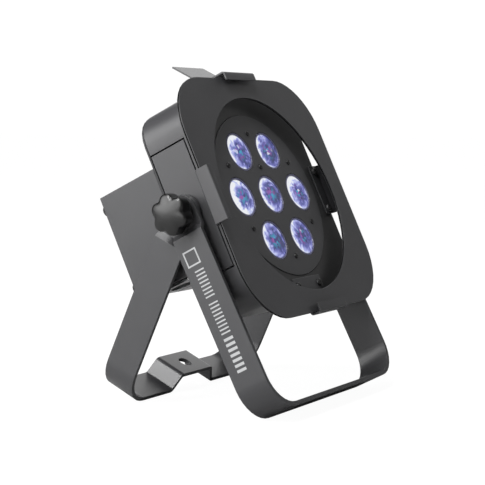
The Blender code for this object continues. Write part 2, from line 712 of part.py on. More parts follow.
def data_socket(name, x, male):
    flange = rounded_rectangle(0.0130, 0.0155, 0.0020, 2)
    made = place(name, slab(flange, "XY", GAP, 0.0022), STEEL, **socket_place(x))
    join(made, rods((0.0118, (0, 0, -0.0160), (0, 0, 0.0012))))
    contacts = [(0.0045 * cos(a), 0.0045 * sin(a)) for a in (radians(d) for d in (30, 150, 270))]
    if male:
        cut(made, rods((0.0095, (0, 0, -0.0130), (0, 0, 0.0032))))
        join(made, rods(*[(0.0012, (px, py, -0.0140), (px, py, -0.0005)) for px, py in contacts], sides=8))
    else:
        cut(made, rods(*[(0.0014, (px, py, -0.0120), (px, py, 0.0032)) for px, py in contacts], sides=8))
        cut(made, blocks(((-0.0036, 0.0072, -0.0070), (0.0036, 0.0108, 0.0032))))


def fuse():
    at = socket_place(FUSE_X)
    holder = place("fuse_holder", rods((0.0080, (0, 0, GAP), (0, 0, 0.0020))), PLASTIC, **at)
    join(holder, rods((0.0060, (0, 0, -0.0200), (0, 0, 0.0012))))
    cut(holder, rods((0.0046, (0, 0, -0.0170), (0, 0, 0.0032))))
    cap = place("fuse_cap", rods((0.0066, (0, 0, 0.0024), (0, 0, 0.0070))), PLASTIC, **at)
    join(cap, rods((0.0041, (0, 0, -0.0120), (0, 0, 0.0036))))
    cut(cap, blocks(((-0.0080, -0.0006, 0.0055), (0.0080, 0.0006, 0.0080))))


def data_latch():
    """The release tab beside the data output's contacts."""
    at = socket_place(XLR_OUT_X)
    place("data_latch", blocks(((-0.0032, 0.0076, -0.0050), (0.0032, 0.0104, 0.0036))), STEEL, **at)


def menu():
    x, z, half_x, half_z = DISPLAY
    place("display_window", blocks(((x - half_x, 0.0872, z - half_z), (x + half_x, 0.0885, z + half_z))),
          WINDOW, front_face)
    board = place("menu_board", blocks(((0.000, 0.0770, -0.020), (0.056, 0.0786, 0.026))), BOARD, front_face)
    join(board, blocks(((x - half_x, 0.0780, z - half_z), (x + half_x, 0.0860, z + half_z))))
    for number, button_x in enumerate(BUTTON_PLACES, start=1):
        button = place(f"button_{number}", rods((BUTTON_RADIUS, (0, -0.0070, 0), (0, 0.0012, 0)), sides=20),
                       PLASTIC, front_face, location=(button_x, 0.0887, BUTTON_Z))
        join(button, rods((0.0047, (0, -0.0045, 0), (0, -0.0027, 0)), sides=20))


def boards():
    power = place("power_supply", blocks(((-0.066, 0.0440, -0.0010), (0.066, 0.0745, 0.0006))),
                  BOARD, front_face)
    join(power, blocks(((-0.060, 0.0480, 0.0002), (-0.030, 0.0700, 0.0240)),
                       ((-0.020, 0.0500, 0.0002), (0.004, 0.0720, 0.0160)),
                       ((0.030, 0.0480, 0.0002), (0.060, 0.0600, 0.0200))))
    driver = place("driver_board", blocks(((-0.050, 0.0385, 0.0060), (0.050, 0.0400, 0.0360))),
                   BOARD, front_face)
    join(driver, blocks(((-0.040, 0.0395, 0.0120), (-0.020, 0.0420, 0.0300)),
                        ((0.010, 0.0395, 0.0100), (0.034, 0.0425, 0.0280))))


power_socket("power_in", IEC_PLACES[0], True)
power_socket("power_out", IEC_PLACES[1], False)
data_socket("data_in", XLR_IN_X, True)
data_socket("data_out", XLR_OUT_X, False)
fuse()
data_latch()
menu()
boards()
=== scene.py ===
"""How the flat LED par can looks: materials, lit lenses, knobs, screws, printed marks, studio and camera."""
import json
from math import atan2, cos, pi, radians, sin

import bmesh
import bpy
from mathutils import Matrix, Vector


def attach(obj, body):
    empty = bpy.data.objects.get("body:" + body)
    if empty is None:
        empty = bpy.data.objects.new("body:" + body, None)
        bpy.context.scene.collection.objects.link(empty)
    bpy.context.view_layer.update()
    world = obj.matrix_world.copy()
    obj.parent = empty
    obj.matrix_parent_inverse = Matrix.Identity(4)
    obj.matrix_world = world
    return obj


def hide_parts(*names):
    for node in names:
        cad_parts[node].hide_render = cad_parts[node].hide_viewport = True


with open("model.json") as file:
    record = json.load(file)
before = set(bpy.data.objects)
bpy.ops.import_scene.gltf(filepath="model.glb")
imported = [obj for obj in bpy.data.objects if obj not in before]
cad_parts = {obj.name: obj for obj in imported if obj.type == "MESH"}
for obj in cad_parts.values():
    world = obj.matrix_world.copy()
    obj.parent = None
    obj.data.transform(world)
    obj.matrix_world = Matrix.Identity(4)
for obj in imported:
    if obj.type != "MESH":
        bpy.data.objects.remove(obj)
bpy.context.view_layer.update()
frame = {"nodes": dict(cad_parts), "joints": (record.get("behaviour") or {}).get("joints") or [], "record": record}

# ---------------------------------------------------------------- sizes, in metres

MM = 0.001

# depths are measured from the front of the front shell, in the housing's own axes, toward the back
PIVOT_DEPTH = 23 * MM
LENS_PITCH = 40.3 * MM          # middle lens to each of the six round it
LENS_STEPS = 48
LENS_RADIUS = 15.2 * MM
LENS_LIP = 1.5 * MM             # width of the collar round a lens's face
LENS_FACE = -0.4 * MM           # depth of a lens lip's front
LENS_TURNS = (8, -14, 5, -22, 16, -6, 26)                       # degrees, one for each lens
LENS_GAINS = (-0.06, 0.10, -0.14, -0.02, 0.16, -0.12, -0.08)    # whiter above 0, bluer below it
PLATE_FRONT = -0.5 * MM         # depth of the lens plate's front
PLATE_SCREW_RING = 49.2 * MM
INNER_SCREW = 22.2 * MM         # height of the single screw above the middle lens

# head radius and height of each kind of screw
PLATE_SCREW = (2.1 * MM, 0.9 * MM)
CLIP_SCREW = (2.9 * MM, 1.7 * MM)
COVER_SCREW = (2.6 * MM, 1.4 * MM)
CLIP_SCREW_HALF_SPAN = 15.5 * MM
CLIP_SCREW_SEAT = -1.5 * MM     # depth of the clips' feet
SIDE_CLIP_SCREW_X = 75.2 * MM
BOTTOM_CLIP_SCREW_Z = -72.2 * MM
COVER_SCREW_X = 72 * MM
COVER_BACK = 88.7 * MM          # depth of the rear cover's back

# a knob's profile, outward from the middle of the lamp: (radius, height) of the stud and hub, then
# (radius, lobe depth, height) of the lobed part, all in millimetres
KNOB_LOBES = 6
KNOB_LOBE_TURN = radians(15)
KNOB_STUD_END = 68.0
KNOB_TOP = 105.6
KNOB_PLAIN = [(3.2, 68.0), (3.8, 68.6), (3.8, 90.05), (11.0, 90.05), (11.5, 90.5), (11.6, 91.8)]
KNOB_LOBED = [(11.8, 0.3, 92.3), (12.6, 0.8, 92.7), (13.1, 1.15, 93.6), (13.3, 1.25, 95.4),
              (13.4, 1.25, 99.4), (13.4, 1.25, 101.6), (13.15, 1.2, 102.5), (12.6, 1.1, 103.1),
              (11.7, 0.8, 103.6), (10.3, 0.45, 104.15), (8.4, 0.2, 104.7), (6.2, 0.06, 105.12),
              (3.9, 0, 105.42), (1.9, 0, 105.56)]

YOKE_ARM_FACE = 91.5 * MM       # middle of the lamp to the outside of the front yoke's arms
MARK_MIDDLE = 1.8 * MM          # how far the bars' middle lies off the middle of the arm
MARK_LENGTH = 8.0 * MM
MARK_THICKNESS = 0.04 * MM
SQUARE_MIDDLE = 3.6 * MM        # the same for the square
SQUARE_PLACE = 31.8 * MM        # distances below the pivot, along the arm
SQUARE_HALF = 5.2 * MM
SQUARE_LINE = 1.1 * MM
FINE_BARS_PLACE = 42.0 * MM
FINE_BAR_PITCH = 2.75 * MM
FINE_BAR_WIDTH = 1.0 * MM
FINE_BAR_COUNT = 17
FIRST_GROUP = 8                 # fine bars before the gap
GROUP_GAP = 2.6 * MM
BOLD_BARS_PLACE = 93.2 * MM
BOLD_BAR_PITCH = 3.85 * MM
BOLD_BAR_WIDTH = 2.0 * MM
BOLD_BAR_COUNT = 7

CAMERA_POSITION = (-0.8876, -0.5395, 0.2055)
CAMERA_AZIMUTH = radians(58.45)
CAMERA_DROP = radians(5.02)
CAMERA_ROLL = radians(-0.15)
CAMERA_VIEW = radians(19.6897)

# the studio: the white that the camera sees, how bright the room is all round for everything else, and
# the screens that glow in it, each with its direction, the cosines where its glow starts and is full,
# and its strength
BACKDROP_WHITE = 1.03
FLOOR_WHITE = 0.96
FLOOR_DROP = 0.2 * MM           # the floor lies this far below the lamp
ROOM_BASE = 0.035
ROOM_GLOWS = [
    ((0.86, 0.36, 0.42), (0.86, 0.98), 1.35),
    ((0.72, -0.58, 0.38), (0.10, 0.95), 0.24),
    ((-0.90, 0.42, 0.05), (0.62, 0.95), 3.1),
]
SOFTBOX_TARGET = (0, 0, 0.13)   # the par can's middle
# name, place, size and power of each softbox
SOFTBOXES = [
    ("back_left", (-1.24, 1.24, 0.7), (1.2, 1.2), 9),
    ("key_left", (-1.3, 0.25, 1.4), (0.45, 0.45), 17),
    ("overhead", (-0.50, 0.05, 1.75), (0.4, 0.4), 14),
]

# ---------------------------------------------------------------- places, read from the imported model

JOINTS = {joint["name"]: joint for joint in frame["joints"]}
PIVOT = Vector(JOINTS["front_yoke_fold"]["pos_m"])
DEPTH_AXIS = -Vector(JOINTS["button_1_press"]["axis"])
TILT = atan2(-DEPTH_AXIS.z, DEPTH_AXIS.y)
HOUSING = (Matrix.Translation(PIVOT) @ Matrix.Rotation(-TILT, 4, "X")
           @ Matrix.Translation((0, -PIVOT_DEPTH, 0)))

FACE_POINT = HOUSING.to_translation()
CROSSBAR_AXIS = Vector(next(mount for mount in frame["record"]["mounts"]
                            if mount["name"] == "front_crossbar_face")["axis"])
FRONT_LEAN = atan2(-CROSSBAR_AXIS.y, -CROSSBAR_AXIS.z)
FRONT_YOKE = Matrix.Translation(PIVOT) @ Matrix.Rotation(-FRONT_LEAN, 4, "X")


def ring_places(radius, first_degrees):
    """Six places evenly round a circle, as (x, z)."""
    return [(radius * cos(radians(first_degrees + 60 * i)), radius * sin(radians(first_degrees + 60 * i)))
            for i in range(6)]


LENS_PLACES = [(0.0, 0.0)] + ring_places(LENS_PITCH, 0)

# ---------------------------------------------------------------- materials

# sockets of a Mix node that blends colours, which share their names with its other sockets
MIX_FIRST = 6
MIX_SECOND = 7
MIX_RESULT = 2

CLOUDS = 14                     # scale of the slow drift in each finish's colour
BAND_REACH = 12 * MM            # a banded coat's depths run this far to the front and to the back


def new_material(name):
    """A material with its node tree, and its Principled shader."""
    made = bpy.data.materials.new(name)
    made.use_nodes = True
    return made, made.node_tree, made.node_tree.nodes["Principled BSDF"]


def node(tree, kind, values=None, **settings):
    """One shader node, with its settings and its unlinked sockets filled in."""
    made = tree.nodes.new(f"ShaderNode{kind}")
    for key, value in settings.items():
        setattr(made, key, value)
    for key, value in (values or {}).items():
        made.inputs[key].default_value = value
    return made


def link(tree, source, output, target, socket):
    tree.links.new(source.outputs[output], target.inputs[socket])


def noise(tree, scale, detail=3.0, stretch=(1, 1, 1)):
    """Noise in the object's own metres, stretched along chosen axes."""
    place = node(tree, "TexCoord")
    size = node(tree, "Mapping", {"Scale": stretch})
    made = node(tree, "TexNoise", {"Scale": scale, "Detail": detail, "Roughness": 0.55})
    link(tree, place, "Object", size, "Vector")
    link(tree, size, "Vector", made, "Vector")
    return made


def ramp(tree, source, output, stops, interpolation="LINEAR"):
    """Maps a value to colours or greys through (position, value) stops."""
    made = node(tree, "ValToRGB")
    made.color_ramp.interpolation = interpolation
    while len(made.color_ramp.elements) < len(stops):
        made.color_ramp.elements.new(0.5)
    for element, (position, value) in zip(made.color_ramp.elements, stops):
        element.position = position
        element.color = (*value, 1) if isinstance(value, tuple) else (value, value, value, 1)
    link(tree, source, output, made, "Fac")
    return made


def bump(tree, shader, source, output, strength, distance):
    """Raises a shader's surface by a value, up to a distance."""
    made = node(tree, "Bump", {"Strength": strength, "Distance": distance})
    link(tree, source, output, made, "Height")
    link(tree, made, "Normal", shader, "Normal")


def speckled(name, dark, light, rough, grain, depth, metallic=0.0, specular=0.5, stretch=(1, 1, 1)):
    """A finish whose colour drifts slowly between two shades, over a fine grain that catches the light."""
    made, tree, shader = new_material(name)
    shader.inputs["Metallic"].default_value = metallic
    shader.inputs["Specular IOR Level"].default_value = specular
    slow = noise(tree, CLOUDS, 4)
    fine = noise(tree, grain, 3, stretch)
    link(tree, ramp(tree, slow, "Fac", [(0.3, dark), (0.7, light)]), "Color", shader, "Base Color")
    link(tree, ramp(tree, fine, "Fac", [(0.25, rough[0]), (0.75, rough[1])]), "Color", shader, "Roughness")
    bump(tree, shader, fine, "Fac", 1.0, depth)
    return made


COAT_DARK = (0.048, 0.048, 0.051)
COAT_LIGHT = (0.060, 0.060, 0.063)
COAT_ROUGHNESS = (0.28, 0.38)
COAT_GRAIN = 1500
COAT_GRAIN_DEPTH = 0.010 * MM

COAT = speckled("powder_coat", COAT_DARK, COAT_LIGHT, COAT_ROUGHNESS, COAT_GRAIN, COAT_GRAIN_DEPTH)
# painted shade: a darker coat for the back plate and the right clip, where shade falls on them
PAINTED_SHADE_COAT = speckled("painted_shade_coat", (0.016, 0.016, 0.018), (0.022, 0.022, 0.024), (0.42, 0.60), COAT_GRAIN,
                      0.012 * MM)
KNOB_PLASTIC = speckled("knob_plastic", (0.002, 0.002, 0.002), (0.004, 0.004, 0.004), (0.26, 0.38), 2200,
                        0.006 * MM, specular=0.65)
SOCKET_PLASTIC = speckled("socket_plastic", (0.016, 0.016, 0.017), (0.022, 0.022, 0.024), (0.34, 0.46), 1800,
                          0.006 * MM)
RUBBER = speckled("rubber", (0.018, 0.018, 0.018), (0.028, 0.028, 0.027), (0.62, 0.85), 1200, 0.02 * MM)
ZINC = speckled("zinc_steel", (0.42, 0.42, 0.43), (0.55, 0.55, 0.55), (0.26, 0.42), 900, 0.004 * MM,
                metallic=1.0, stretch=(1, 1, 6))
BLACK_STEEL = speckled("black_steel", (0.020, 0.020, 0.021), (0.032, 0.032, 0.033), (0.26, 0.40), 1600,
                       0.005 * MM, metallic=0.4)
DARK_STEEL = speckled("dark_steel", (0.003, 0.003, 0.003), (0.006, 0.006, 0.006), (0.22, 0.32), 1600,
                      0.004 * MM)
ALUMINIUM = speckled("extruded_aluminium", (0.50, 0.50, 0.52), (0.64, 0.64, 0.66), (0.32, 0.46), 700,
                     0.004 * MM, metallic=1.0, stretch=(8, 8, 1))
FIBRE = speckled("pressed_fibre", (0.055, 0.042, 0.030), (0.10, 0.075, 0.052), (0.75, 0.92), 1400, 0.02 * MM)
BOARD = speckled("solder_mask", (0.010, 0.110, 0.045), (0.018, 0.160, 0.065), (0.28, 0.42), 1100, 0.006 * MM)
PRINT = speckled("white_print", (0.38, 0.385, 0.39), (0.46, 0.465, 0.47), (0.50, 0.64), 1500, 0.004 * MM)
LIP = speckled("lens_lip", (0.10, 0.10, 0.17), (0.16, 0.16, 0.26), (0.16, 0.28), 900, 0.004 * MM)

# a lens face's painted glow: scales of its facets and swirls, and how strongly each effect brightens or deepens
# it; the crescent is a painted highlight
FACETS = 390
SWIRLS = 80
SWIRL_CONTRAST = 1.4
LENS_SHADE = 1.03
HIGHLIGHT_CRESCENT = 0.40
RIM_GAIN = 1.35

# its colours, as (position, colour) stops: from the deepest to the brightest, and of its glints
LENS_COLOURS = [(0.02, (0.014, 0.025, 0.13)), (0.26, (0.07, 0.08, 0.34)), (0.46, (0.18, 0.19, 0.55)),
                (0.64, (0.38, 0.40, 0.82)), (0.80, (0.64, 0.70, 1.00)), (0.92, (0.95, 0.97, 1.00))]
GLINT_COLOURS = [(0.0, (0.03, 0.38, 0.62)), (0.34, (0.03, 0.03, 0.18)), (0.54, (0.34, 0.08, 0.42)),
                 (0.66, (0.10, 0.10, 0.45)), (0.86, (0.85, 0.88, 1.00))]


def painted_lens_glow(number):
    """A lens face's painted glow: a highlight crescent and facets over a blue-violet middle, with violet and cyan
    glints.
    """
    made, tree, shader = new_material(f"lens_painted_glow_{number}")
    place = node(tree, "TexCoord")
    flat = node(tree, "Mapping", {"Scale": (1, 1, 0)})
    link(tree, place, "Object", flat, "Vector")
    length = node(tree, "VectorMath", operation="LENGTH")
    link(tree, flat, "Vector", length, 0)
    share = node(tree, "Math", {1: LENS_RADIUS}, operation="DIVIDE")
    link(tree, length, "Value", share, 0)
    moved = node(tree, "Mapping", {"Scale": (1, 1, 0), "Location": (0.031 * number, 0.017 * number, 0)})
    link(tree, place, "Object", moved, "Vector")

    # facets: a slow swirl, and cells of different brightness that are strongest in the middle
    cells = node(tree, "TexVoronoi", {"Scale": FACETS, "Randomness": 1.0})
    link(tree, moved, "Vector", cells, "Vector")
    grey = node(tree, "RGBToBW")
    link(tree, cells, "Color", grey, "Color")
    swirl = node(tree, "TexNoise", {"Scale": SWIRLS, "Detail": 2.0, "Distortion": 2.4})
    link(tree, moved, "Vector", swirl, "Vector")
    base = LENS_GAINS[number - 1] - LENS_SHADE
    clouded = node(tree, "Math", {1: SWIRL_CONTRAST, 2: base}, operation="MULTIPLY_ADD")
    link(tree, swirl, "Fac", clouded, 0)
    facet = node(tree, "Math", {1: 0.5}, operation="SUBTRACT")
    link(tree, grey, "Val", facet, 0)
    inside = ramp(tree, share, "Value", [(0.25, 0.75), (0.80, 0.12)])
    cut = node(tree, "Math", operation="MULTIPLY")
    link(tree, facet, "Value", cut, 0)
    link(tree, inside, "Color", cut, 1)
    facets = node(tree, "Math", operation="ADD")
    link(tree, clouded, "Value", facets, 0)
    link(tree, cut, "Value", facets, 1)

    # a painted highlight: the crescent brightens toward the lens's own -X, and the whole lens toward its rim
    side = node(tree, "VectorMath", {1: (-1 / LENS_RADIUS, 0.30 / LENS_RADIUS, 0)}, operation="DOT_PRODUCT")
    link(tree, place, "Object", side, 0)
    crescent = node(tree, "Math", {1: HIGHLIGHT_CRESCENT}, operation="MULTIPLY")
    link(tree, side, "Value", crescent, 0)
    lean = node(tree, "Math", operation="ADD")
    link(tree, crescent, "Value", lean, 0)
    link(tree, facets, "Value", lean, 1)
    reach = node(tree, "Math", {1: RIM_GAIN}, operation="MULTIPLY_ADD")
    link(tree, share, "Value", reach, 0)
    link(tree, lean, "Value", reach, 2)
    body = ramp(tree, reach, "Value", LENS_COLOURS)

    # glints near the middle, and a rim that fades toward the lip
    hue = ramp(tree, cells, "Color", GLINT_COLOURS, "CONSTANT")
    middle = ramp(tree, share, "Value", [(0.12, 0.85), (0.52, 0.0)])
    glints = node(tree, "Mix", data_type="RGBA")
    link(tree, middle, "Color", glints, "Factor")
    link(tree, body, "Color", glints, MIX_FIRST)
    link(tree, hue, "Color", glints, MIX_SECOND)
    rim = ramp(tree, share, "Value", [(0.86, 1.0), (0.905, 0.42)])
    faded = node(tree, "Mix", {"Factor": 1.0}, data_type="RGBA", blend_type="MULTIPLY")
    link(tree, glints, MIX_RESULT, faded, MIX_FIRST)
    link(tree, rim, "Color", faded, MIX_SECOND)
    link(tree, faded, MIX_RESULT, shader, "Emission Color")
    shader.inputs["Emission Strength"].default_value = 0.85
    shader.inputs["Base Color"].default_value = (0.07, 0.07, 0.10, 1)
    shader.inputs["Roughness"].default_value = 0.12
    shader.inputs["Coat Weight"].default_value = 0.4
    shader.inputs["Coat Roughness"].default_value = 0.04
    bump(tree, shader, cells, "Distance", 0.5, 0.4 * MM)
    return made


def coat_with_painted_shade(name, bands, dark):
    """Powder coat with a darker coat, which is painted shade, in bands of depth.

    bands holds (depth, 1 for powder coat or 0 for the darker coat of painted shade) stops, and dark is its grey.
    """
    made, tree, shader = new_material(name)
    place = node(tree, "TexCoord")
    from_face = node(tree, "VectorMath", {1: FACE_POINT}, operation="SUBTRACT")
    link(tree, place, "Object", from_face, 0)
    depth = node(tree, "VectorMath", {1: DEPTH_AXIS}, operation="DOT_PRODUCT")
    link(tree, from_face, "Vector", depth, 0)
    share = node(tree, "MapRange", {"From Min": -BAND_REACH, "From Max": BAND_REACH})
    link(tree, depth, "Value", share, "Value")
    # sides is the mask of the painted shade: 0 in its bands
    sides = ramp(tree, share, "Result", [(0.5 + at / (2 * BAND_REACH), value) for at, value in bands])
    slow = noise(tree, CLOUDS, 4)
    fine = noise(tree, COAT_GRAIN, 3)
    # outer is the powder coat, and inner the colour of the painted shade
    outer = ramp(tree, slow, "Fac", [(0.3, COAT_DARK), (0.7, COAT_LIGHT)])
    inner = ramp(tree, slow, "Fac", [(0.3, (dark, dark, dark)), (0.7, (1.3 * dark, 1.3 * dark, 1.35 * dark))])
    coats = node(tree, "Mix", data_type="RGBA")
    link(tree, sides, "Color", coats, "Factor")
    link(tree, inner, "Color", coats, MIX_FIRST)
    link(tree, outer, "Color", coats, MIX_SECOND)
    link(tree, coats, MIX_RESULT, shader, "Base Color")
    link(tree, ramp(tree, fine, "Fac", [(0.25, COAT_ROUGHNESS[0]), (0.75, COAT_ROUGHNESS[1])]), "Color",
         shader, "Roughness")
    shader.inputs["Specular IOR Level"].default_value = 0.5
    bump(tree, shader, fine, "Fac", 1.0, COAT_GRAIN_DEPTH)
    return made


def glass_material():
    """Smoked window over the menu's display."""
    made, tree, shader = new_material("smoked_window")
    haze = noise(tree, 60)
    link(tree, ramp(tree, haze, "Fac", [(0.3, 0.05), (0.7, 0.11)]), "Color", shader, "Roughness")
    link(tree, ramp(tree, haze, "Fac", [(0.3, (0.030, 0.010, 0.010)), (0.7, (0.045, 0.014, 0.014))]), "Color",
         shader, "Base Color")
    shader.inputs["Alpha"].default_value = 0.55
    shader.inputs["Coat Weight"].default_value = 0.5
    return made


# painted shade: the front shell is darker on its front wall, and the gel frame along its rims, between its two
# faces, where shade falls
SHELL_SHADE_COAT = coat_with_painted_shade("shell_coat_painted_shade", [(0.4 * MM, 0.0), (1.0 * MM, 1.0)], 0.024)
GEL_FRAME_SHADE_COAT = coat_with_painted_shade("gel_frame_coat_painted_shade", [(-9.25 * MM, 1.0), (-9.05 * MM, 0.0), (-8.0 * MM, 0.0),
                                          (-7.85 * MM, 1.0)], 0.004)
WINDOW = glass_material()

NODE_LOOKS = {
    # painted shade: the next three coats are darker where shade falls, on the back plate and right clip, the
    # shell's front wall and the gel frame's rims
    PAINTED_SHADE_COAT: ["back_plate", "clip_right"],
    SHELL_SHADE_COAT: ["front_shell"],
    GEL_FRAME_SHADE_COAT: ["gel_frame"],
    RUBBER: ["foot_1", "foot_2", "foot_3", "foot_4"],
    ZINC: ["safety_eye", "clip_pin", "clip_spring", "pivot_insert_left", "pivot_insert_right",
           "data_in", "data_out", "data_latch"],
    BLACK_STEEL: ["knob_washer_left", "knob_washer_right"],
    ALUMINIUM: ["led_board", "heat_sink"],
    SOCKET_PLASTIC: ["power_in", "power_out", "fuse_holder", "fuse_cap",
                     "button_1", "button_2", "button_3", "button_4"],
    FIBRE: ["friction_washer_left", "friction_washer_right"],
    BOARD: ["driver_board", "power_supply", "menu_board"],
    WINDOW: ["display_window"],
}

# how far the edges of each kind of piece are rounded
EDGE_ROUNDING = {
    0.55 * MM: ["front_yoke", "rear_yoke"],
    0.35 * MM: ["front_shell", "rear_box", "rear_cover", "side_panel_left", "side_panel_right", "lens_plate",
                "back_plate"],
    0.18 * MM: ["gel_frame"],
    0.30 * MM: ["clip_left", "clip_right", "clip_bottom", "top_clip", "clip_bracket"],
    0.40 * MM: ["knob_washer_left", "knob_washer_right", "friction_washer_left", "friction_washer_right",
                "power_in", "power_out", "fuse_holder", "fuse_cap", "data_in", "data_out",
                "button_1", "button_2", "button_3", "button_4"],
}


def dress_cad_nodes():
    """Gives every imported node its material, and rounds the edges of those that show."""
    looks = {name: look for look, names in NODE_LOOKS.items() for name in names}
    for name, thing in frame["nodes"].items():
        thing.data.materials.clear()
        thing.data.materials.append(looks.get(name, COAT))
    for width, names in EDGE_ROUNDING.items():
        for name in names:
            round_edges(frame["nodes"][name], width)


def round_edges(thing, width):
    """Rounds a node's edges with modifiers, which leave its mesh as it is."""
    weld = thing.modifiers.new("weld", "WELD")
    weld.merge_threshold = 0.004 * MM
    rounding = thing.modifiers.new("rounding", "BEVEL")
    rounding.width = width
    rounding.segments = 3
    rounding.limit_method = "ANGLE"
    rounding.angle_limit = radians(32)
    rounding.use_clamp_overlap = True
    smooth = thing.modifiers.new("smooth", "WEIGHTED_NORMAL")
    smooth.keep_sharp = False


# ---------------------------------------------------------------- building helpers


def piece(name, bm, look, matrix, body, smooth=True):
    """A finished bmesh as a visible piece that rides on a body."""
    bmesh.ops.recalc_face_normals(bm, faces=bm.faces)
    mesh = bpy.data.meshes.new(name)
    bm.to_mesh(mesh)
    bm.free()
    mesh.materials.append(look)
    if smooth:
        mesh.shade_smooth()
        mesh.set_sharp_from_angle(angle=radians(38))
    made = bpy.data.objects.new(name, mesh)
    bpy.context.scene.collection.objects.link(made)
    made.matrix_world = matrix
    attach(made, body)
    return made


def ring_at(bm, radius, height, steps):
    """A ring of vertices about Z, or a single one where the radius is 0."""
    if radius == 0:
        return [bm.verts.new((0, 0, height))]
    return [bm.verts.new((radius * cos(angle), radius * sin(angle), height))
            for angle in (2 * pi * i / steps for i in range(steps))]


def lathe(bm, profile, steps):
    """Turns a profile of (radius, height) about Z. The profile starts and ends on the axis."""
    skin(bm, [ring_at(bm, radius, height, steps) for radius, height in profile])


def skin(bm, rings):
    """Joins closed rings of equal length, or single points, one after the next."""
    for low, high in zip(rings, rings[1:]):
        count = max(len(low), len(high))
        for i in range(count):
            j = (i + 1) % count
            corners = [low[i % len(low)], low[j % len(low)], high[j % len(high)], high[i % len(high)]]
            unique = [vert for n, vert in enumerate(corners) if vert not in corners[:n]]
            if len(unique) >= 3:
                bm.faces.new(unique)


def housing_place(x, depth, z, facing="front"):
    """A place in the housing's own axes, with local Z pointing out of its front or back."""
    turn = pi / 2 if facing == "front" else -pi / 2
    return HOUSING @ Matrix.Translation((x, depth, z)) @ Matrix.Rotation(turn, 4, "X")


def screw_mesh(head, height, recess_turn):
    """A pan-head screw with a cross recess, seated at height zero. head is the head's radius."""
    bm = bmesh.new()
    sides, bands = 24, 5
    recess = 0.52 * head
    floor_drop = 0.55 * height
    rings = [ring_at(bm, radius, z, sides)
             for radius, z in [(0, -0.2 * height), (0.55 * head, -0.2 * height), (head, 0)]]
    for band in range(1, bands + 1):
        angle = pi / 2 * band / bands
        radius = head * (0.62 + 0.38 * cos(angle))
        rings.append(ring_at(bm, radius, height * (0.35 + 0.65 * sin(angle)), sides))
    skin(bm, rings)
    rim = rings[-1]
    cross = []
    for i, vert in enumerate(rim):
        angle = 2 * pi * i / sides
        reach = recess if i % (sides // 4) == 0 else 0.36 * recess
        cross.append(bm.verts.new((reach * cos(angle), reach * sin(angle), vert.co.z)))
    floor = [bm.verts.new((vert.co.x * 0.6, vert.co.y * 0.6, vert.co.z - floor_drop)) for vert in cross]
    middle = bm.verts.new((0, 0, height - floor_drop))
    skin(bm, [rim, cross, floor, [middle]])
    bmesh.ops.rotate(bm, verts=bm.verts, matrix=Matrix.Rotation(recess_turn, 3, "Z"))
    return bm


def housing_screw(name, matrix, size, look, turn):
    """A screw that rides on the housing, with its recess turned by some degrees."""
    piece(name, screw_mesh(*size, radians(turn)), look, matrix, "housing")


# ---------------------------------------------------------------- lenses and lens plate


def lens_lip_mesh():
    """The collar and the tapering back of a lens, with a seat for its face."""
    seat = LENS_RADIUS - LENS_LIP
    bm = bmesh.new()
    lathe(bm, [(0, -9.0 * MM), (5.5 * MM, -9.0 * MM), (seat, -2.6 * MM), (LENS_RADIUS, -2.2 * MM),
               (LENS_RADIUS, -0.3 * MM), (LENS_RADIUS - 0.3 * MM, 0), (seat + 0.2 * MM, 0),
               (seat, -0.3 * MM), (seat, -0.9 * MM), (0, -0.9 * MM)], LENS_STEPS)
    return bm


def lens_face_mesh():
    """A shallow dome that fills the collar's seat."""
    seat = LENS_RADIUS - LENS_LIP
    dome = [(seat * sin(angle), -0.85 * MM + 0.9 * MM * cos(angle))
            for angle in (pi / 2 * i / 8 for i in range(9))]
    bm = bmesh.new()
    lathe(bm, dome + [(0, -0.86 * MM)], LENS_STEPS)
    return bm


def build_lenses():
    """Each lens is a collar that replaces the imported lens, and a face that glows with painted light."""
    for number, (x, z) in enumerate(LENS_PLACES, start=1):
        place = housing_place(x, LENS_FACE, z)
        turn = Matrix.Rotation(radians(LENS_TURNS[number - 1]), 4, "Z")
        lip = piece(f"lens_lip_{number}", lens_lip_mesh(), LIP, place, "housing")
        piece(f"lens_face_{number}", lens_face_mesh(), painted_lens_glow(number), place @ turn, "housing")
        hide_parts(f"lens_{number}")


def build_plate_screws():
    """Low black screws, which show as dark dots in the lens plate."""
    places = ring_places(PLATE_SCREW_RING, 30) + [(0, INNER_SCREW)]
    for number, (x, z) in enumerate(places, start=1):
        housing_screw(f"plate_screw_{number}", housing_place(x, PLATE_FRONT, z), PLATE_SCREW, DARK_STEEL,
                      25 * number)


# ---------------------------------------------------------------- fasteners


def build_clip_screws():
    """Two screws through the foot of each fixed clip: left, right and bottom."""
    half, side, low = CLIP_SCREW_HALF_SPAN, SIDE_CLIP_SCREW_X, BOTTOM_CLIP_SCREW_Z
    places = [(-side, half), (-side, -half), (side, half), (side, -half), (-half, low), (half, low)]
    for number, (x, z) in enumerate(places, start=1):
        housing_screw(f"clip_screw_{number}", housing_place(x, CLIP_SCREW_SEAT, z), CLIP_SCREW, BLACK_STEEL,
                      33 * number)


def build_cover_screws():
    """A screw at each end of the rear cover."""
    for number, x in enumerate((-COVER_SCREW_X, COVER_SCREW_X), start=1):
        housing_screw(f"cover_screw_{number}", housing_place(x, COVER_BACK, 0, "back"), COVER_SCREW,
                      BLACK_STEEL, 20 * number)


# ---------------------------------------------------------------- knobs


def knob_ring(bm, base, scallop, height, steps=144):
    """One ring of a knob: its base radius, and how far its broad lobes and narrow dips go from it."""
    ring = []
    for i in range(steps):
        angle = 2 * pi * i / steps
        wave = cos(KNOB_LOBES * (angle - KNOB_LOBE_TURN))
        radius = base + scallop * (wave + 0.35 * (1 - wave * wave))
        ring.append(bm.verts.new((radius * cos(angle), radius * sin(angle), height)))
    return ring


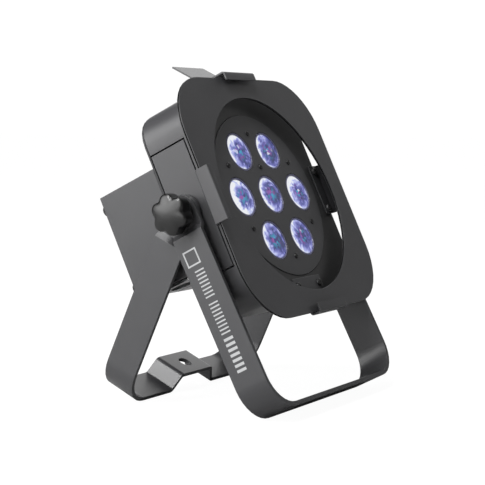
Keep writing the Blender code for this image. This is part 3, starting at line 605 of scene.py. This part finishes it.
def build_knob(word, side):
    """Stud, hub, deep lobed skirt and a domed face, about local Z, which points outward."""
    bm = bmesh.new()
    rings = [[bm.verts.new((0, 0, KNOB_STUD_END * MM))]]
    for radius, height in KNOB_PLAIN:
        rings.append(knob_ring(bm, radius * MM, 0, height * MM))
    for radius, lobe, height in KNOB_LOBED:
        rings.append(knob_ring(bm, radius * MM, lobe * MM, height * MM))
    rings.append([bm.verts.new((0, 0, KNOB_TOP * MM))])
    skin(bm, rings)
    outward = Matrix.Translation(PIVOT) @ Matrix.Rotation(side * pi / 2, 4, "Y")
    made = piece(f"star_knob_{word}", bm, KNOB_PLASTIC, outward, f"knob_{word}")
    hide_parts(f"knob_{word}")


# ---------------------------------------------------------------- printed marks on the front yoke


def mark(name, along, middle, length, width):
    """A thin printed bar on the left arm. along is its distance below the pivot, and middle its place
    across the arm, where it measures length. Its width runs along the arm."""
    bm = bmesh.new()
    bmesh.ops.create_cube(bm, size=1, matrix=Matrix.Diagonal((MARK_THICKNESS, length, width, 1)))
    place = FRONT_YOKE @ Matrix.Translation((-YOKE_ARM_FACE - MARK_THICKNESS / 2, middle, -along))
    piece(name, bm, PRINT, place, "front_yoke", smooth=False)


def build_marks():
    """A plain hollow square and a scale of plain bars, finer above and bolder below."""
    outer = 2 * SQUARE_HALF + SQUARE_LINE
    inner = 2 * SQUARE_HALF - SQUARE_LINE
    for word, shift in (("top", -SQUARE_HALF), ("bottom", SQUARE_HALF)):
        mark(f"square_{word}", SQUARE_PLACE + shift, SQUARE_MIDDLE, outer, SQUARE_LINE)
    for word, shift in (("left", -SQUARE_HALF), ("right", SQUARE_HALF)):
        mark(f"square_{word}", SQUARE_PLACE, SQUARE_MIDDLE + shift, SQUARE_LINE, inner)
    for number in range(FINE_BAR_COUNT):
        gap = GROUP_GAP if number >= FIRST_GROUP else 0
        mark(f"fine_bar_{number + 1}", FINE_BARS_PLACE + FINE_BAR_PITCH * number + gap, MARK_MIDDLE,
             MARK_LENGTH, FINE_BAR_WIDTH)
    for number in range(BOLD_BAR_COUNT):
        mark(f"bold_bar_{number + 1}", BOLD_BARS_PLACE + BOLD_BAR_PITCH * number, MARK_MIDDLE, MARK_LENGTH,
             BOLD_BAR_WIDTH)


# ---------------------------------------------------------------- stage, light and camera


def build_stage():
    """A pale floor. The camera sees it as even white with a faint shade; to other rays it is grey."""
    bpy.ops.mesh.primitive_plane_add(size=30, location=(0, 0, -FLOOR_DROP))
    floor = bpy.context.object
    floor.name = "floor"
    made, tree, shader = new_material("studio_floor")
    link(tree, ramp(tree, noise(tree, 3), "Fac", [(0.3, 0.44), (0.7, 0.48)]), "Color", shader, "Base Color")
    shader.inputs["Roughness"].default_value = 0.9
    shader.inputs["Specular IOR Level"].default_value = 0.1
    paper = node(tree, "Emission", {"Color": (1, 1, 1, 1), "Strength": FLOOR_WHITE})
    faint = node(tree, "BsdfDiffuse", {"Color": (0.10, 0.10, 0.10, 1)})
    seen = node(tree, "AddShader")
    link(tree, paper, "Emission", seen, 0)
    link(tree, faint, "BSDF", seen, 1)
    path = node(tree, "LightPath")
    choice = node(tree, "MixShader")
    link(tree, path, "Is Camera Ray", choice, 0)
    link(tree, shader, "BSDF", choice, 1)
    link(tree, seen, "Shader", choice, 2)
    link(tree, choice, "Shader", tree.nodes["Material Output"], "Surface")
    floor.data.materials.append(made)


def softbox(name, location, size, power):
    """A rectangular lamp that aims at the middle of the par can."""
    lamp = bpy.data.lights.new(name, "AREA")
    lamp.shape = "RECTANGLE"
    lamp.size, lamp.size_y = size
    lamp.energy = power
    thing = bpy.data.objects.new(name, lamp)
    thing.location = location
    aim = Vector(SOFTBOX_TARGET) - Vector(location)
    thing.rotation_euler = aim.to_track_quat("-Z", "Y").to_euler()
    bpy.context.scene.collection.objects.link(thing)


def glow(tree, direction, spread, strength):
    """Light from one part of the studio. spread holds the cosines where it starts and where it is full."""
    place = node(tree, "TexCoord")
    dot = node(tree, "VectorMath", {1: Vector(direction).normalized()}, operation="DOT_PRODUCT")
    link(tree, place, "Generated", dot, 0)
    step = node(tree, "MapRange", {"From Min": spread[0], "From Max": spread[1], "To Min": 0.0,
                                   "To Max": strength}, interpolation_type="SMOOTHSTEP")
    link(tree, dot, "Value", step, "Value")
    return step


def build_light():
    """A white backdrop for the camera, a dim room with glowing screens for all other rays, and softboxes."""
    world = bpy.data.worlds.new("studio")
    bpy.context.scene.world = world
    world.use_nodes = True
    tree = world.node_tree
    room = tree.nodes["Background"]
    room.inputs["Color"].default_value = (1, 1, 1, 1)
    screens = [glow(tree, direction, spread, strength) for direction, spread, strength in ROOM_GLOWS]
    total = node(tree, "Math", {0: ROOM_BASE}, operation="ADD")
    link(tree, screens[0], "Result", total, 1)
    for screen in screens[1:]:
        summed = node(tree, "Math", operation="ADD")
        link(tree, total, "Value", summed, 0)
        link(tree, screen, "Result", summed, 1)
        total = summed
    link(tree, total, "Value", room, "Strength")
    backdrop = node(tree, "Background", {"Color": (1, 1, 1, 1), "Strength": BACKDROP_WHITE})
    path = node(tree, "LightPath")
    choice = node(tree, "MixShader")
    link(tree, path, "Is Camera Ray", choice, 0)
    link(tree, room, "Background", choice, 1)
    link(tree, backdrop, "Background", choice, 2)
    link(tree, choice, "Shader", tree.nodes["World Output"], "Surface")
    for name, location, size, power in SOFTBOXES:
        softbox(name, location, size, power)
    bpy.context.scene.view_settings.view_transform = "Standard"


def build_camera():
    """The photo's camera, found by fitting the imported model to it."""
    lens = bpy.data.cameras.new("camera")
    lens.sensor_fit = "HORIZONTAL"
    lens.angle = CAMERA_VIEW
    lens.clip_start = 0.05
    camera = bpy.data.objects.new("camera", lens)
    camera.location = CAMERA_POSITION
    camera.rotation_euler = (pi / 2 - CAMERA_DROP, CAMERA_ROLL, -CAMERA_AZIMUTH)
    bpy.context.scene.collection.objects.link(camera)
    bpy.context.scene.camera = camera


dress_cad_nodes()
build_lenses()
build_plate_screws()
build_clip_screws()
build_cover_screws()
build_knob("left", -1)
build_knob("right", 1)
build_marks()
build_stage()
build_light()
build_camera()
